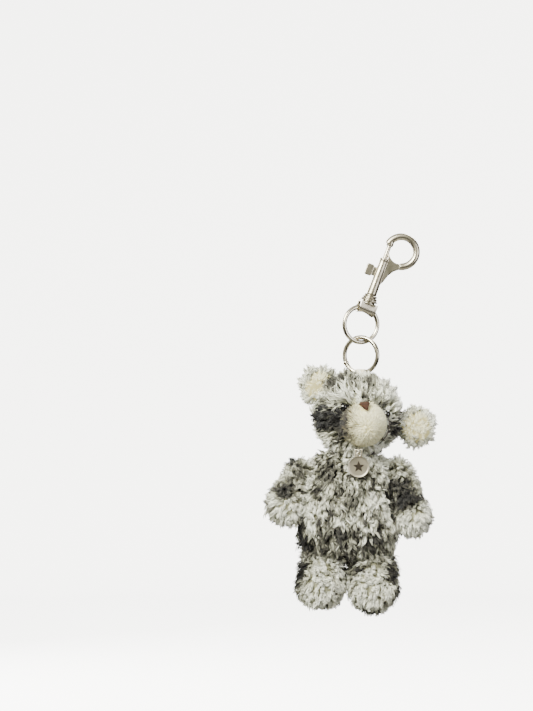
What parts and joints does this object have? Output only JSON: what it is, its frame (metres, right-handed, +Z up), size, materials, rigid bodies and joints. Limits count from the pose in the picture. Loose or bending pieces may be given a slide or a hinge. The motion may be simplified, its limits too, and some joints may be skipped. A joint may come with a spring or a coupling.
{
  "type": "plush keychain",
  "caption": "Small stuffed plush bear with a dangling disc charm, hung by linked rings from a swivel bolt snap with a sliding thumb knob.",
  "frame": {"origin": "inside top of the snap's loop, where it hangs from a hook, strap or finger", "axes": "+Z up as it hangs, +Y away from the viewer of the bear's face (the bear faces -Y), +X to that viewer's right"},
  "size_m": [0.0815, 0.0466, 0.1873],
  "materials": {
    "nickel_casting": "polished nickel plate on a zinc casting",
    "nickel_wire": "polished nickel plate on steel wire",
    "spring_steel": "bright spring wire",
    "cotton_tape": "woven cotton tape",
    "cream_thread": "twisted polyester thread",
    "dyed_plush": "curly pile, tie-dyed cream to charcoal",
    "ear_plush": "undyed curly pile",
    "muzzle_velour": "short brushed pile",
    "fibre_filling": "loose polyester fibre",
    "nose_thread": "satin stitch",
    "black_bead": "glossy moulded bead",
    "washer_plastic": "moulded",
    "nickel_charm": "polished nickel plate",
    "charm_relief": "darkened relief"
  },
  "bodies": {
    "hook": {"hook_body": "nickel_casting", "bolt_spring": "spring_steel"},
    "bolt": {"bolt": "nickel_casting", "thumb_knob": "nickel_casting"},
    "swivel": {"swivel_eye": "nickel_casting", "swivel_stud": "nickel_casting"},
    "ring_upper": {"ring_upper": "nickel_wire"},
    "ring_lower": {"ring_lower": "nickel_wire"},
    "head": {"ribbon_tab": "cotton_tape", "tab_stitching": "cream_thread", "head_cover": "dyed_plush", "head_stuffing": "fibre_filling", "ear_left": "dyed_plush", "ear_left_lining": "ear_plush", "ear_right": "dyed_plush", "ear_right_lining": "ear_plush", "muzzle_cover": "muzzle_velour", "muzzle_stuffing": "fibre_filling", "nose_stitching": "nose_thread", "eye_left": "black_bead", "eye_right": "black_bead", "eye_washer_left": "washer_plastic", "eye_washer_right": "washer_plastic"},
    "torso": {"body_cover": "dyed_plush", "body_stuffing": "fibre_filling", "charm_thread": "cream_thread"},
    "charm": {"charm_ring": "nickel_charm", "charm_disc": "nickel_charm", "charm_motif": "charm_relief"},
    "arm_left": {"arm_left_cover": "dyed_plush", "arm_left_stuffing": "fibre_filling"},
    "arm_right": {"arm_right_cover": "dyed_plush", "arm_right_stuffing": "fibre_filling"},
    "leg_left": {"leg_left_cover": "dyed_plush", "leg_left_stuffing": "fibre_filling"},
    "leg_right": {"leg_right_cover": "dyed_plush", "leg_right_stuffing": "fibre_filling"}
  },
  "joints": [
    {"name": "bolt_slide", "type": "slide", "parent": "hook", "child": "bolt", "axis": [-0.3502, 0, -0.9367], "range_m": [0, 0.0055], "stiffness_N_per_m": 250, "springref_m": -0.003, "deforming": ["bolt_spring"]},
    {"name": "swivel_spin", "type": "hinge", "parent": "hook", "child": "swivel", "pos_m": [-0.01508, 0, -0.02723], "axis": [0.3502, 0, 0.9367], "continuous": true},
    {"name": "ring_upper_swing", "type": "hinge", "parent": "swivel", "child": "ring_upper", "pos_m": [-0.01749, 0, -0.03369], "axis": [0.8866, 0.3227, -0.3315], "range_deg": [-45, 45]},
    {"name": "ring_lower_swing", "type": "hinge", "parent": "ring_upper", "child": "ring_lower", "pos_m": [-0.02027, -0.00101, -0.04854], "axis": [0.8988, -0.4384, 0], "range_deg": [-45, 45]},
    {"name": "plush_swing", "type": "hinge", "parent": "ring_lower", "child": "head", "pos_m": [-0.02027, -0.00101, -0.06634], "axis": [0.8988, -0.4384, 0], "range_deg": [-40, 40]},
    {"name": "neck_roll", "type": "hinge", "parent": "head", "child": "torso", "pos_m": [-0.0243, 0, -0.1035], "axis": [0, 1, 0], "range_deg": [-12, 12], "stiffness_Nm_per_rad": 0.03},
    {"name": "shoulder_left", "type": "hinge", "parent": "torso", "child": "arm_left", "pos_m": [-0.051, -0.001, -0.116], "axis": [0, 1, 0], "range_deg": [-3, 60], "stiffness_Nm_per_rad": 0.01},
    {"name": "shoulder_right", "type": "hinge", "parent": "torso", "child": "arm_right", "pos_m": [-0.0019, -0.001, -0.116], "axis": [0, -1, 0], "range_deg": [-3, 60], "stiffness_Nm_per_rad": 0.01},
    {"name": "hip_left", "type": "hinge", "parent": "torso", "child": "leg_left", "pos_m": [-0.0394, 0, -0.1657], "axis": [-1, 0, 0], "range_deg": [-20, 45], "stiffness_Nm_per_rad": 0.012},
    {"name": "hip_right", "type": "hinge", "parent": "torso", "child": "leg_right", "pos_m": [-0.0138, 0, -0.1657], "axis": [-1, 0, 0], "range_deg": [-20, 45], "stiffness_Nm_per_rad": 0.012},
    {"name": "charm_swing", "type": "hinge", "parent": "torso", "child": "charm", "pos_m": [-0.0222, -0.018, -0.1039], "axis": [-1, 0, 0], "range_deg": [0, 75]}
  ]
}
